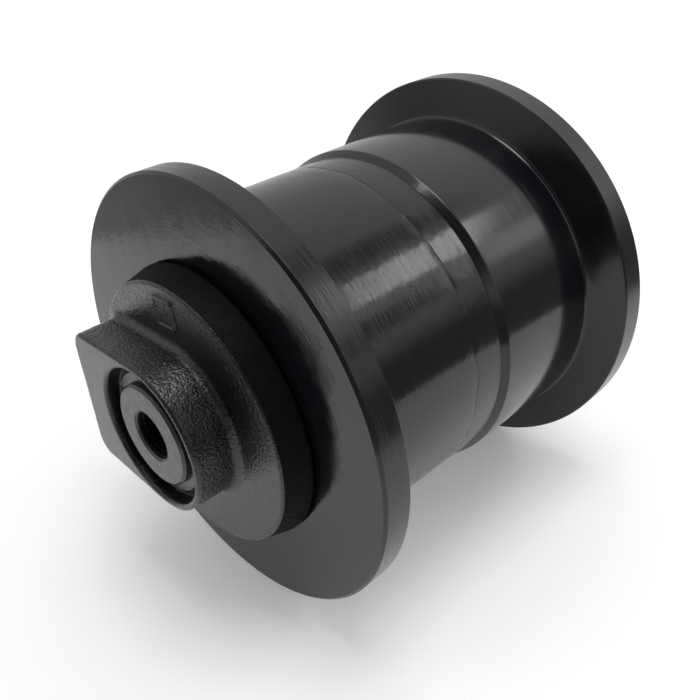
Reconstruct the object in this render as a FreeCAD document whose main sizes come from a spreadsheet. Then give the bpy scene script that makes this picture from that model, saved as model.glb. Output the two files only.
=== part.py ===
"""Track roller for a small crawler excavator, as a parametric FreeCAD document.

Millimetres, +Z up. The origin is the roller's centre and the roller spins about +Y. The front end is at -Y.
Every turned piece is drawn once in the YZ plane, with the distance along the axle to the right and the
radius upwards, and the front end's pieces are the rear end's turned half a turn about X.
"""
import os

import FreeCAD
import Part
import Sketcher

# name, value in mm, what it measures. "Reach" is a distance along the axle from the roller's centre.
DIMENSIONS = [
    ("flange_dia", 165.0, "outside of both guide flanges"),
    ("face_reach", 73.5, "outer face of a flange"),
    ("rim_reach", 62.3, "inner edge of a flange's rim"),
    ("root_reach", 58.0, "foot of a flange on the tread"),
    ("front_tread_dia", 130.8, "tread on the front half"),
    ("rear_tread_dia", 134.8, "tread on the rear half"),
    ("step_reach", 8.2, "top of the step up to the rear tread"),
    ("flange_chamfer", 1.0, "outer edge of a flange"),
    ("root_round", 1.5, "fillet at the foot of a flange"),
    ("weld_front", 8.5, "toe of the weld on the front half"),
    ("weld_rear", 5.1, "toe of the weld on the rear half"),
    ("weld_root", 1.0, "half the width of the weld's root"),
    ("weld_root_dia", 114.0, "bottom of the weld"),
    ("cavity_dia", 72.0, "oil cavity round the thrust collar"),
    ("thrust_dia", 62.0, "thrust collar of the shaft"),
    ("thrust_half", 7.0, "half the width of the thrust collar"),
    ("thrust_gap", 0.15, "end float at each bush"),
    ("journal_dia", 44.0, "running journal of the shaft"),
    ("running_gap", 0.05, "radial clearance in a bush"),
    ("bush_dia", 51.0, "outside of a bush"),
    ("bush_flange_dia", 63.0, "flange of a bush"),
    ("bush_flange", 3.0, "thickness of a bush's flange"),
    ("bush_reach", 52.0, "outer end of a bush"),
    ("seal_reach", 68.0, "plane where the two seal rings meet"),
    ("seal_gap", 0.03, "half the oil film between the seal rings"),
    ("seal_face_dia", 68.0, "outside of a seal ring"),
    ("seal_bore_dia", 50.0, "inside of a seal ring"),
    ("seal_lip", 3.0, "thickness of a seal ring's face"),
    ("seal_depth", 9.8, "length of a seal ring"),
    ("seal_neck_dia", 62.0, "seal ring's cone beside its face"),
    ("seal_tail_dia", 56.0, "seal ring's cone at its back"),
    ("seat_depth", 11.0, "seal plane to the floor of a seat"),
    ("seat_floor_dia", 72.0, "toric seat at its floor"),
    ("seat_mouth", 1.0, "seal plane to a seat's mouth and to the floor of the labyrinth"),
    ("seat_mouth_dia", 74.8, "toric seat at its mouth"),
    ("toric_start", 3.7, "seal plane to the near side of a toric ring"),
    ("toric_width", 5.0, "width of a toric ring along the axle"),
    ("toric_round", 1.8, "corner radius of a squeezed toric ring"),
    ("labyrinth_dia", 85.0, "recess in the shell round the collar's skirt"),
    ("skirt_dia", 83.0, "collar's skirt"),
    ("skirt_reach", 70.0, "inner end of the collar's skirt"),
    ("collar_reach", 74.3, "back of the collar's rim"),
    ("collar_rim_dia", 105.0, "collar's rim at the back"),
    ("collar_disc_dia", 100.2, "collar's disc at the front"),
    ("disc_reach", 85.6, "collar's disc face"),
    ("disc_round", 1.2, "edge of the collar's disc"),
    ("boss_reach", 102.0, "front face of the collar's boss"),
    ("boss_dia", 56.4, "round side of the boss"),
    ("flat_offset", 40.5, "axis to the flat on the boss"),
    ("flat_height", 53.0, "height of the flat"),
    ("boss_corner", 7.0, "upright corners of the boss"),
    ("boss_foot_round", 3.0, "fillet at the foot of the boss"),
    ("boss_rim_round", 1.3, "front edge of the boss and mouth of its counterbore"),
    ("counterbore_dia", 51.0, "counterbore round the shaft's end"),
    ("counterbore_depth", 6.0, "depth of the counterbore, which the retaining ring sits in"),
    ("pad_offset", 40.3, "axis to the cast pad on the disc"),
    ("pad_length", 12.0, "cast pad across"),
    ("pad_width", 12.0, "cast pad outwards"),
    ("pad_rise", 0.8, "cast pad's height"),
    ("pad_turn", 3.0, "degrees from upright to the cast pad"),
    ("shaft_reach", 100.8, "end of the shaft"),
    ("shaft_end_dia", 38.0, "shaft in the collar"),
    ("shoulder_reach", 79.0, "shoulder that the collar sits against"),
    ("shaft_chamfer", 0.9, "edge of the shaft's end"),
    ("thread_dia", 18.0, "tapped hole, M18, at its major diameter"),
    ("thread_depth", 34.0, "depth of the tapped hole"),
    ("thread_chamfer", 0.8, "mouth of the tapped hole"),
    ("drill_tip", 4.5, "cone at the bottom of the tapped hole"),
    ("ring_width", 2.0, "retaining ring along the axle"),
    ("ring_play", 0.1, "groove width over the ring"),
    ("ring_inner_dia", 35.0, "floor of the retaining ring's groove"),
    ("ring_outer_dia", 44.6, "outside of the retaining ring"),
    ("ring_opening", 10.0, "gap between the ring's ends"),
    ("ring_turn", -106.0, "degrees that the ring is turned on the shaft"),
    ("o_ring_reach", 82.0, "near side of the O-ring's groove"),
    ("o_ring_width", 2.6, "width of the O-ring's groove"),
    ("o_ring_dia", 33.6, "floor of the O-ring's groove"),
    ("o_ring_round", 0.9, "corner radius of the squeezed O-ring"),
    ("plug_dia", 10.0, "oil plug"),
    ("plug_reach", 65.0, "outer face of the oil plug"),
    ("plug_length", 8.0, "length of the oil plug"),
    ("plug_socket", 5.0, "across the flats of the plug's socket"),
    ("plug_socket_depth", 4.0, "depth of the plug's socket"),
    ("oilway_dia", 5.0, "oilway along the shaft"),
    ("oilway_reach", 28.0, "cross drilling to a bush"),
    ("oil_hole_dia", 4.0, "cross drilling"),
]

SAME_POINT = 1e-6  # mm, or cubic mm for a volume that a cut should lower
SAME_EDGE = 1e-4  # mm, for finding a curved edge by its place


class Size:
    """A length that knows both its number and the sheet expression that gives it."""

    def __init__(self, value, text):
        self.value = value
        self.text = text

    def joined(self, other, sign, value):
        text = other.text if isinstance(other, Size) else repr(float(other))
        return Size(value, "(" + self.text + " " + sign + " " + text + ")")

    def __add__(self, other):
        return self.joined(other, "+", self.value + number(other))

    def __sub__(self, other):
        return self.joined(other, "-", self.value - number(other))

    def __mul__(self, other):
        return self.joined(other, "*", self.value * number(other))

    def __truediv__(self, other):
        return self.joined(other, "/", self.value / number(other))


def number(length):
    """The number of a Size or of a plain number."""
    return length.value if isinstance(length, Size) else float(length)


def minus(size):
    """The same length the other way."""
    return Size(-size.value, "(-1 * " + size.text + ")")


ZERO = Size(0.0, "0")


def make_sheet(doc):
    """Put the driving dimensions in a spreadsheet and return them as Sizes by name."""
    sheet = doc.addObject("Spreadsheet::Sheet", "Sheet")
    sizes = {}
    for row, (name, value, meaning) in enumerate(DIMENSIONS, start=1):
        sheet.set("A%d" % row, meaning)
        sheet.set("B%d" % row, repr(value))
        sheet.setAlias("B%d" % row, name)
        sizes[name] = Size(value, "Sheet." + name)
    doc.recompute()
    return sizes


# ---- sketches and features ----

def make_body(doc, label):
    body = doc.addObject("PartDesign::Body", label)
    body.Label = label
    return body


def origin_plane(body, role):
    for feature in body.Origin.OriginFeatures:
        if feature.Role == role:
            return feature
    raise ValueError("no plane " + role)


def make_sketch(body, name, role):
    sketch = body.newObject("Sketcher::SketchObject", name)
    sketch.AttachmentSupport = (origin_plane(body, role), "")
    sketch.MapMode = "FlatFace"
    return sketch


def pin(sketch, geometry, point, name, size, axis):
    """Fix one coordinate of a sketch point at a Size, counted from the sketch's origin."""
    if size is ZERO:
        axis_line = -2 if axis == "X" else -1
        sketch.addConstraint(Sketcher.Constraint("PointOnObject", geometry, point, axis_line))
        return
    kind = "Distance" + axis
    sketch.addConstraint(Sketcher.Constraint(kind, -1, 1, geometry, point, size.value))
    label = name + axis.lower()
    sketch.renameConstraint(sketch.ConstraintCount - 1, label)
    sketch.setExpression("Constraints." + label, size.text)


def draw_outline(sketch, points):
    """Draw a closed outline of straight lines with every corner pinned to its two Sizes."""
    vectors = [FreeCAD.Vector(along.value, out.value, 0) for along, out in points]
    count = len(points)
    for index in range(count):
        sketch.addGeometry(Part.LineSegment(vectors[index], vectors[(index + 1) % count]))
    for index in range(count):
        sketch.addConstraint(Sketcher.Constraint("Coincident", index, 2, (index + 1) % count, 1))
    for index, (along, out) in enumerate(points):
        pin(sketch, index, 1, "corner%d" % index, along, "X")
        pin(sketch, index, 1, "corner%d" % index, out, "Y")


def turn(body, name, points, feature="PartDesign::Revolution"):
    """Revolve an outline of (reach, radius) corners about the axle, to add or to cut."""
    sketch = make_sketch(body, name + "_outline", "YZ_Plane")
    draw_outline(sketch, points)
    turned = body.newObject(feature, name)
    turned.Profile = sketch
    turned.ReferenceAxis = (sketch, ["H_Axis"])
    turned.Angle = 360
    body.Document.recompute()
    return turned


def cut_ring(body, name, start, end, inner, outer):
    """Cut a square-sided ring out of a body, between two reaches and two radii."""
    before = body.Shape.Volume
    points = [(start, inner), (start, outer), (end, outer), (end, inner)]
    groove = turn(body, name, points, "PartDesign::Groove")
    if body.Shape.Volume > before - SAME_POINT:
        raise ValueError(name + " cuts nothing")
    return groove


def circle_edges(shape, reach, radius):
    """Names of the round edges about the axle at a reach and a radius."""
    names = []
    for index, edge in enumerate(shape.Edges, start=1):
        curve = edge.Curve
        if not hasattr(curve, "Radius"):
            continue
        offset = abs(curve.Center.y - number(reach)) + abs(curve.Radius - number(radius))
        if offset < SAME_EDGE and abs(curve.Center.x) + abs(curve.Center.z) < SAME_EDGE:
            names.append("Edge%d" % index)
    if not names:
        raise ValueError("no edge at reach %.2f, radius %.2f" % (number(reach), number(radius)))
    return names


def round_edges(body, name, edges, size, feature="PartDesign::Fillet"):
    """Fillet or chamfer named edges of the body's last feature."""
    base = body.Tip
    made = body.newObject(feature, name)
    made.Base = (base, edges)
    dimension = "Radius" if feature == "PartDesign::Fillet" else "Size"
    setattr(made, dimension, size.value)
    made.setExpression(dimension, size.text)
    body.Document.recompute()
    return made


def end_sketch(body, name, reach):
    """A sketch across the axle at a reach: X to the right, Z up, and facing the origin."""
    sketch = make_sketch(body, name, "XZ_Plane")
    sketch.AttachmentOffset = FreeCAD.Placement(FreeCAD.Vector(0, 0, -reach.value), FreeCAD.Rotation())
    sketch.setExpression(".AttachmentOffset.Base.z", "-1 * " + reach.text)
    return sketch


def raise_pad(body, name, sketch, length):
    """Pad a sketch outwards along +Y."""
    pad = body.newObject("PartDesign::Pad", name)
    pad.Profile = sketch
    pad.Length = length.value
    pad.setExpression("Length", length.text)
    pad.Reversed = True
    body.Document.recompute()
    return pad


def cut_through(body, name, sketch):
    """Cut a sketch's outline right through a body, both ways."""
    before = body.Shape.Volume
    pocket = body.newObject("PartDesign::Pocket", name)
    pocket.Profile = sketch
    pocket.Type = "ThroughAll"
    pocket.Midplane = True
    body.Document.recompute()
    if body.Shape.Volume > before - SAME_POINT:
        raise ValueError(name + " cuts nothing")


def add_circle(sketch, name, across, up, diameter):
    """Draw a circle of a Size's diameter, its centre pinned to two Sizes."""
    centre = FreeCAD.Vector(across.value, up.value, 0)
    index = sketch.addGeometry(Part.Circle(centre, FreeCAD.Vector(0, 0, 1), diameter.value / 2))
    pin(sketch, index, 3, name, across, "X")
    pin(sketch, index, 3, name, up, "Y")
    sketch.addConstraint(Sketcher.Constraint("Diameter", index, diameter.value))
    sketch.renameConstraint(sketch.ConstraintCount - 1, name + "across")
    sketch.setExpression("Constraints." + name + "across", diameter.text)
    return index


def place(body, end, about_axle=0.0):
    """Leave a piece at the rear end, or turn it half a turn about X to the front end.

    A piece that isn't round can first be turned on the axle, by an angle in degrees.
    """
    swap = FreeCAD.Rotation(FreeCAD.Vector(1, 0, 0), 180 if end == "front" else 0)
    spin = FreeCAD.Rotation(FreeCAD.Vector(0, 1, 0), about_axle)
    body.Placement = FreeCAD.Placement(FreeCAD.Vector(), swap.multiply(spin))
    return body


# ---- the shell, which turns ----

def shell_half(doc, s, end):
    """One flanged half of the shell, with its weld bevel, oil cavity, bush bore and seal seat."""
    body = make_body(doc, "shell_" + end + "_half")
    tread = s[end + "_tread_dia"] / 2
    flange = s["flange_dia"] / 2
    bush = s["bush_dia"] / 2
    shoulder = s["thrust_half"] + s["thrust_gap"] + s["bush_flange"]
    bevel = [(s["weld_root"], s["weld_root_dia"] / 2), (s["weld_" + end], s["front_tread_dia"] / 2)]
    if end == "rear":
        bevel.append((s["step_reach"], tread))
    seat_floor = s["seal_reach"] - s["seat_depth"]
    labyrinth_floor = s["seal_reach"] + s["seat_mouth"]
    turn(body, "forging_" + end, [
        (ZERO, s["cavity_dia"] / 2),
        (ZERO, s["weld_root_dia"] / 2),
        *bevel,
        (s["root_reach"], tread),
        (s["rim_reach"], flange - s["flange_chamfer"] / 2),
        (s["rim_reach"] + s["flange_chamfer"] / 2, flange),
        (s["face_reach"] - s["flange_chamfer"], flange),
        (s["face_reach"], flange - s["flange_chamfer"]),
        (s["face_reach"], s["labyrinth_dia"] / 2),
        (labyrinth_floor, s["labyrinth_dia"] / 2),
        (labyrinth_floor, s["seat_mouth_dia"] / 2),
        (seat_floor, s["seat_floor_dia"] / 2),
        (seat_floor, bush),
        (shoulder, bush),
        (shoulder, s["cavity_dia"] / 2),
    ])
    root = circle_edges(body.Shape, s["root_reach"], tread)
    round_edges(body, "root_fillet_" + end, root, s["root_round"])
    return place(body, end)


def shell_weld(doc, s):
    """The weld that joins the two halves, ground flush with the front tread."""
    body = make_body(doc, "shell_weld")
    top = s["front_tread_dia"] / 2
    root = s["weld_root_dia"] / 2
    turn(body, "weld_metal", [
        (ZERO, top),
        (s["weld_front"] + s["weld_rear"], top),
        (s["weld_front"] + s["weld_root"], root),
        (s["weld_front"] - s["weld_root"], root),
    ])
    body.setExpression(".Placement.Base.y", "-1 * " + s["weld_front"].text)
    return body


def bush(doc, s, end):
    """A flanged bush, pressed into the shell and facing the shaft's thrust collar."""
    body = make_body(doc, end + "_bush")
    bore = s["journal_dia"] / 2 + s["running_gap"]
    inner_face = s["thrust_half"] + s["thrust_gap"]
    turn(body, "bush_" + end, [
        (inner_face, bore),
        (inner_face, s["bush_flange_dia"] / 2),
        (inner_face + s["bush_flange"], s["bush_flange_dia"] / 2),
        (inner_face + s["bush_flange"], s["bush_dia"] / 2),
        (s["bush_reach"], s["bush_dia"] / 2),
        (s["bush_reach"], bore),
    ])
    return place(body, end)


# ---- the face seals: a steel ring and a rubber toric on each side of the seal plane ----

def from_seal_plane(s, side, distance):
    """The reach at a distance from the seal plane, on the shell's side or the collar's."""
    if side == "rotating":
        return s["seal_reach"] - distance
    return s["seal_reach"] + distance


def seal_ring(doc, s, end, side):
    """A hardened seal ring: a flat face, and a cone behind it that the toric grips."""
    body = make_body(doc, end + "_" + side + "_seal_ring")
    face = from_seal_plane(s, side, s["seal_gap"])
    neck = from_seal_plane(s, side, s["seal_lip"])
    tail = from_seal_plane(s, side, s["seal_depth"])
    turn(body, "seal_" + end + "_" + side, [
        (face, s["seal_bore_dia"] / 2 + s["seal_lip"]),
        (face, s["seal_face_dia"] / 2),
        (neck, s["seal_face_dia"] / 2),
        (neck, s["seal_neck_dia"] / 2),
        (tail, s["seal_tail_dia"] / 2),
        (tail, s["seal_bore_dia"] / 2),
        (neck, s["seal_bore_dia"] / 2),
    ])
    return place(body, end)


def cone_radius(distance, near, near_dia, far, far_dia):
    """The radius of a cone at a distance, between two distances and their diameters."""
    rise = (far_dia - near_dia) / 2
    return near_dia / 2 + rise * (distance - near) / (far - near)


def toric(doc, s, end, side):
    """The rubber ring squeezed between a seal ring's cone and its seat."""
    body = make_body(doc, end + "_" + side + "_toric")
    start = s["toric_start"]
    finish = s["toric_start"] + s["toric_width"]
    inside = [cone_radius(d, s["seal_lip"], s["seal_neck_dia"], s["seal_depth"], s["seal_tail_dia"])
              for d in (start, finish)]
    mouth = minus(s["seat_mouth"])
    outside = [cone_radius(d, mouth, s["seat_mouth_dia"], s["seat_depth"], s["seat_floor_dia"])
               for d in (start, finish)]
    near = from_seal_plane(s, side, start)
    far = from_seal_plane(s, side, finish)
    turn(body, "toric_" + end + "_" + side, [
        (near, inside[0]),
        (near, outside[0]),
        (far, outside[1]),
        (far, inside[1]),
    ])
    corners = []
    for reach, radius in ((near, inside[0]), (near, outside[0]), (far, outside[1]), (far, inside[1])):
        corners += circle_edges(body.Shape, reach, radius)
    round_edges(body, "squeezed_" + end + "_" + side, corners, s["toric_round"])
    return place(body, end)


# ---- the axle, which stands still ----

def shaft(doc, s):
    """The shaft: a thrust collar in the middle and a tapped, grooved end each side."""
    body = make_body(doc, "shaft")
    end = s["shaft_reach"]
    seat = s["shaft_end_dia"] / 2
    thread = s["thread_dia"] / 2
    bottom = end - s["thread_depth"]
    turn(body, "half_shaft", [
        (ZERO, ZERO),
        (ZERO, s["thrust_dia"] / 2),
        (s["thrust_half"], s["thrust_dia"] / 2),
        (s["thrust_half"], s["journal_dia"] / 2),
        (s["shoulder_reach"], s["journal_dia"] / 2),
        (s["shoulder_reach"], seat),
        (end - s["shaft_chamfer"], seat),
        (end, seat - s["shaft_chamfer"]),
        (end, thread + s["thread_chamfer"]),
        (end - s["thread_chamfer"], thread),
        (bottom, thread),
        (bottom - s["drill_tip"], ZERO),
    ])
    ring_start = s["boss_reach"] - s["counterbore_depth"]
    ring_end = ring_start + s["ring_width"] + s["ring_play"]
    ring_groove = cut_ring(body, "ring_groove", ring_start, ring_end, s["ring_inner_dia"] / 2, seat)
    o_ring_end = s["o_ring_reach"] + s["o_ring_width"]
    o_groove = cut_ring(body, "o_ring_groove", s["o_ring_reach"], o_ring_end, s["o_ring_dia"] / 2, seat)
    mirrored = body.newObject("PartDesign::Mirrored", "other_half")
    mirrored.Originals = [doc.getObject("half_shaft"), ring_groove, o_groove]
    mirrored.MirrorPlane = (origin_plane(body, "XZ_Plane"), [""])
    body.Tip = mirrored
    doc.recompute()
    plug_seat = s["plug_reach"] - s["plug_length"]
    cut_ring(body, "plug_bore", plug_seat, bottom, ZERO, s["plug_dia"] / 2)
    cut_ring(body, "oilway", ZERO, plug_seat, ZERO, s["oilway_dia"] / 2)
    cross = make_sketch(body, "cross_drilling_outline", "XY_Plane")
    add_circle(cross, "hole", ZERO, s["oilway_reach"], s["oil_hole_dia"])
    cut_through(body, "cross_drilling", cross)
    return body


def draw_boss(sketch, s):
    """The boss's outline: a round side at +X whose tangents close in on a flat at -X."""
    radius = s["boss_dia"] / 2
    half_flat = s["flat_height"] / 2
    top = FreeCAD.Vector(0, radius.value, 0)
    bottom = FreeCAD.Vector(0, -radius.value, 0)
    flat_top = FreeCAD.Vector(-s["flat_offset"].value, half_flat.value, 0)
    flat_bottom = FreeCAD.Vector(-s["flat_offset"].value, -half_flat.value, 0)
    sketch.addGeometry(Part.Arc(bottom, FreeCAD.Vector(radius.value, 0, 0), top))
    for start, end in ((top, flat_top), (flat_top, flat_bottom), (flat_bottom, bottom)):
        sketch.addGeometry(Part.LineSegment(start, end))
    for first, second in ((0, 1), (1, 2), (2, 3)):
        sketch.addConstraint(Sketcher.Constraint("Coincident", first, 2, second, 1))
    sketch.addConstraint(Sketcher.Constraint("Coincident", 3, 2, 0, 1))
    sketch.addConstraint(Sketcher.Constraint("Coincident", 0, 3, -1, 1))
    for line in (1, 3):
        sketch.addConstraint(Sketcher.Constraint("Tangent", 0, line))
    sketch.addConstraint(Sketcher.Constraint("Symmetric", 2, 1, 2, 2, -1))
    for kind, name, size, geometry in (
            ("Radius", "round_side", radius, (0,)),
            ("DistanceY", "flat_height", s["flat_height"], (2, 2, 2, 1)),
            ("DistanceX", "flat_offset", s["flat_offset"], (2, 1, -1, 1))):
        sketch.addConstraint(Sketcher.Constraint(kind, *geometry, size.value))
        sketch.renameConstraint(sketch.ConstraintCount - 1, name)
        sketch.setExpression("Constraints." + name, size.text)


def upright_edges(shape, across):
    """Names of the straight edges along the axle at a distance across it."""
    names = []
    for index, edge in enumerate(shape.Edges, start=1):
        ends = [vertex.Point for vertex in edge.Vertexes]
        along = len(ends) == 2 and abs(ends[0].x - ends[1].x) + abs(ends[0].z - ends[1].z) < SAME_POINT
        if along and abs(ends[0].x - across) < SAME_POINT:
            names.append("Edge%d" % index)
    return names


def edges_at_reach(shape, reach, inside, outside):
    """Names of the edges that lie wholly at a reach and between two distances from the axis."""
    names = []
    for index, edge in enumerate(shape.Edges, start=1):
        box = edge.BoundBox
        middle = edge.valueAt((edge.FirstParameter + edge.LastParameter) / 2)
        radius = (middle.x ** 2 + middle.z ** 2) ** 0.5
        flat = abs(box.YMin - number(reach)) + abs(box.YMax - number(reach)) < SAME_EDGE
        if flat and number(inside) < radius < number(outside):
            names.append("Edge%d" % index)
    return names


def collar(doc, s, end):
    """The cast end collar: seal seat inside, disc outside, and a boss with a flat."""
    body = make_body(doc, end + "_collar")
    bore = s["shaft_end_dia"] / 2
    seat_floor = s["seal_reach"] + s["seat_depth"]
    skirt_bore = cone_radius(s["skirt_reach"] - s["seal_reach"], minus(s["seat_mouth"]),
                             s["seat_mouth_dia"], s["seat_depth"], s["seat_floor_dia"])
    turn(body, "disc_" + end, [
        (seat_floor, bore),
        (seat_floor, s["seat_floor_dia"] / 2),
        (s["skirt_reach"], skirt_bore),
        (s["skirt_reach"], s["skirt_dia"] / 2),
        (s["collar_reach"], s["skirt_dia"] / 2),
        (s["collar_reach"], s["collar_rim_dia"] / 2),
        (s["disc_reach"], s["collar_disc_dia"] / 2),
        (s["disc_reach"], bore),
    ])
    disc_edge = circle_edges(body.Shape, s["disc_reach"], s["collar_disc_dia"] / 2)
    round_edges(body, "disc_edge_" + end, disc_edge, s["disc_round"])
    outline = end_sketch(body, "boss_outline_" + end, s["disc_reach"])
    draw_boss(outline, s)
    raise_pad(body, "boss_" + end, outline, s["boss_reach"] - s["disc_reach"])
    corners = upright_edges(body.Shape, -s["flat_offset"].value)
    round_edges(body, "boss_corners_" + end, corners, s["boss_corner"])
    counterbore = s["counterbore_dia"] / 2
    boss_limit = s["flat_offset"] + s["boss_corner"]
    foot = edges_at_reach(body.Shape, s["disc_reach"], counterbore, boss_limit)
    round_edges(body, "boss_foot_" + end, foot, s["boss_foot_round"])
    front = edges_at_reach(body.Shape, s["boss_reach"], counterbore, boss_limit)
    round_edges(body, "boss_rim_" + end, front, s["boss_rim_round"])
    floor = s["boss_reach"] - s["counterbore_depth"]
    cut_ring(body, "counterbore_" + end, floor, s["boss_reach"], ZERO, counterbore)
    mouth = circle_edges(body.Shape, s["boss_reach"], counterbore)
    round_edges(body, "counterbore_mouth_" + end, mouth, s["boss_rim_round"])
    cut_ring(body, "shaft_bore_" + end, seat_floor, floor, ZERO, bore)
    cast_pad(body, s, end)
    return place(body, end)


def cast_pad(body, s, end):
    """A blank raised pad on the collar's disc, between the boss and the disc's edge."""
    sketch = end_sketch(body, "cast_pad_outline_" + end, s["disc_reach"])
    turned = FreeCAD.Rotation(FreeCAD.Vector(0, 0, 1), -s["pad_turn"].value)
    sketch.AttachmentOffset = FreeCAD.Placement(sketch.AttachmentOffset.Base, turned)
    half = s["pad_length"] / 2
    near = minus(s["pad_offset"] - s["pad_width"] / 2)
    far = minus(s["pad_offset"] + s["pad_width"] / 2)
    draw_outline(sketch, [(minus(half), far), (half, far), (half, near), (minus(half), near)])
    raise_pad(body, "cast_pad_" + end, sketch, s["pad_rise"])


def retaining_ring(doc, s, end):
    """The external snap ring that holds the collar on: a plain square section, open at one side."""
    body = make_body(doc, end + "_retaining_ring")
    start = s["boss_reach"] - s["counterbore_depth"]
    turn(body, "ring_" + end, [
        (start, s["ring_inner_dia"] / 2),
        (start, s["ring_outer_dia"] / 2),
        (start + s["ring_width"], s["ring_outer_dia"] / 2),
        (start + s["ring_width"], s["ring_inner_dia"] / 2),
    ])
    gap = end_sketch(body, "ring_gap_outline_" + end, start)
    half = s["ring_opening"] / 2
    top = s["ring_outer_dia"]
    draw_outline(gap, [(minus(half), ZERO), (half, ZERO), (half, top), (minus(half), top)])
    cut_through(body, "ring_gap_" + end, gap)
    return place(body, end, s["ring_turn"].value)


def o_ring(doc, s, end):
    """The O-ring that seals the shaft in the collar, squeezed to its groove."""
    body = make_body(doc, end + "_shaft_o_ring")
    start = s["o_ring_reach"]
    finish = s["o_ring_reach"] + s["o_ring_width"]
    inner = s["o_ring_dia"] / 2
    outer = s["shaft_end_dia"] / 2
    corners = [(start, inner), (start, outer), (finish, outer), (finish, inner)]
    turn(body, "o_ring_" + end, corners)
    edges = []
    for reach, radius in corners:
        edges += circle_edges(body.Shape, reach, radius)
    round_edges(body, "o_ring_round_" + end, edges, s["o_ring_round"])
    return place(body, end)


def oil_plug(doc, s):
    """The socket plug at the bottom of the rear tapped hole, which closes the oilway."""
    body = make_body(doc, "oil_plug")
    radius = s["plug_dia"] / 2
    inner_end = s["plug_reach"] - s["plug_length"]
    turn(body, "plug", [
        (inner_end, ZERO),
        (inner_end, radius),
        (s["plug_reach"], radius),
        (s["plug_reach"], ZERO),
    ])
    sketch = end_sketch(body, "socket_outline", s["plug_reach"])
    corner_radius = s["plug_socket"] / 3 ** 0.5
    points = [FreeCAD.Vector(corner_radius.value, 0, 0)]
    turn_by = FreeCAD.Rotation(FreeCAD.Vector(0, 0, 1), 60)
    for _ in range(5):
        points.append(turn_by.multVec(points[-1]))
    for index, point in enumerate(points):
        sketch.addGeometry(Part.LineSegment(point, points[(index + 1) % 6]))
    for index in range(6):
        sketch.addConstraint(Sketcher.Constraint("Coincident", index, 2, (index + 1) % 6, 1))
        if index:
            sketch.addConstraint(Sketcher.Constraint("Equal", 0, index))
    circle = add_circle(sketch, "corners", ZERO, ZERO, corner_radius * 2)
    sketch.toggleConstruction(circle)
    for index in range(6):
        sketch.addConstraint(Sketcher.Constraint("PointOnObject", index, 1, circle))
    sketch.addConstraint(Sketcher.Constraint("PointOnObject", 0, 1, -1))
    before = body.Shape.Volume
    socket = body.newObject("PartDesign::Pocket", "socket")
    socket.Profile = sketch
    socket.Length = s["plug_socket_depth"].value
    socket.setExpression("Length", s["plug_socket_depth"].text)
    socket.Reversed = True
    doc.recompute()
    if body.Shape.Volume > before - SAME_POINT:
        raise ValueError("the plug's socket cuts nothing")
    return body


def check(doc, bodies):
    """Stop if any object failed, or any piece is not one valid solid."""
    for item in doc.Objects:
        if "Invalid" in item.State or "Error" in item.State:
            raise ValueError(item.Name + " failed: " + ", ".join(item.State))
    for body in bodies:
        shape = body.Shape
        if shape.isNull() or not shape.isValid() or len(shape.Solids) != 1:
            raise ValueError(body.Label + " is not one valid solid")


def main():
    doc = FreeCAD.newDocument("track_roller")
    sizes = make_sheet(doc)
    bodies = [shell_weld(doc, sizes), shaft(doc, sizes), oil_plug(doc, sizes)]
    for end in ("front", "rear"):
        bodies.append(shell_half(doc, sizes, end))
        bodies.append(bush(doc, sizes, end))
        bodies.append(collar(doc, sizes, end))
        bodies.append(o_ring(doc, sizes, end))
        bodies.append(retaining_ring(doc, sizes, end))
        for side in ("rotating", "fixed"):
            bodies.append(seal_ring(doc, sizes, end, side))
            bodies.append(toric(doc, sizes, end, side))
    doc.recompute()
    check(doc, bodies)
    os.makedirs("parts", exist_ok=True)
    for body in bodies:
        body.Shape.exportStep("parts/" + body.Label + ".step")
        print("%-28s %10.1f mm3" % (body.Label, body.Shape.Volume))


main()
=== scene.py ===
"""Looks of the track roller: painted shell, rough cast collars, worn shaft ends and a pale studio.

Metres, in the frame's own axes: the roller lies on its flanges and spins about +Y, with the front end at -Y.
"Reach" is a distance along the axle from the centre, and every turned piece is an outline of reach and radius.
"""
import math

import bpy
from mathutils import Euler, Matrix, Vector, noise


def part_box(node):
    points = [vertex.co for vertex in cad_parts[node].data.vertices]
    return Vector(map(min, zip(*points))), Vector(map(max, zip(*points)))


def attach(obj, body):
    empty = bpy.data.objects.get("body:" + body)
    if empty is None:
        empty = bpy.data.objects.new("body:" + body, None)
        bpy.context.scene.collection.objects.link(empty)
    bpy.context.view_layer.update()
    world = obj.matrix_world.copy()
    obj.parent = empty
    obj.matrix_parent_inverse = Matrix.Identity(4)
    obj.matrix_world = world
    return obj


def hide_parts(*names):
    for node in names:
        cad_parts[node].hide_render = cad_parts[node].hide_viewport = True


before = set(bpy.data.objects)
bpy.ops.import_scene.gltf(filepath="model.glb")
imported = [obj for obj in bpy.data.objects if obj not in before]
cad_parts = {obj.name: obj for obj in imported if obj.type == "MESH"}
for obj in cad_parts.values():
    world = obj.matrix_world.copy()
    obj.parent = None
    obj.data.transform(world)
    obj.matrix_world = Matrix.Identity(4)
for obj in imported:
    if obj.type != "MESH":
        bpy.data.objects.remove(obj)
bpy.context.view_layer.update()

MM = 0.001
TAU = 2 * math.pi

# ---- sizes read from the frame ----
shell_low, shell_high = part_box("shell_front_half")
collar_low, collar_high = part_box("front_collar")
weld_low, weld_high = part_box("shell_weld")
shaft_low, shaft_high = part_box("shaft")
ring_low, ring_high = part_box("front_retaining_ring")
FLANGE_RADIUS = shell_high.z
FACE_REACH = -shell_low.y
FRONT_TREAD = weld_high.z
WELD_FRONT = weld_low.y
WELD_REAR = weld_high.y
BOSS_REACH = -collar_low.y
COLLAR_RIM = collar_high.x
SHAFT_REACH = shaft_high.y
COUNTERBORE_FLOOR = -ring_high.y
FLOOR_LEVEL = -FLANGE_RADIUS

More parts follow.
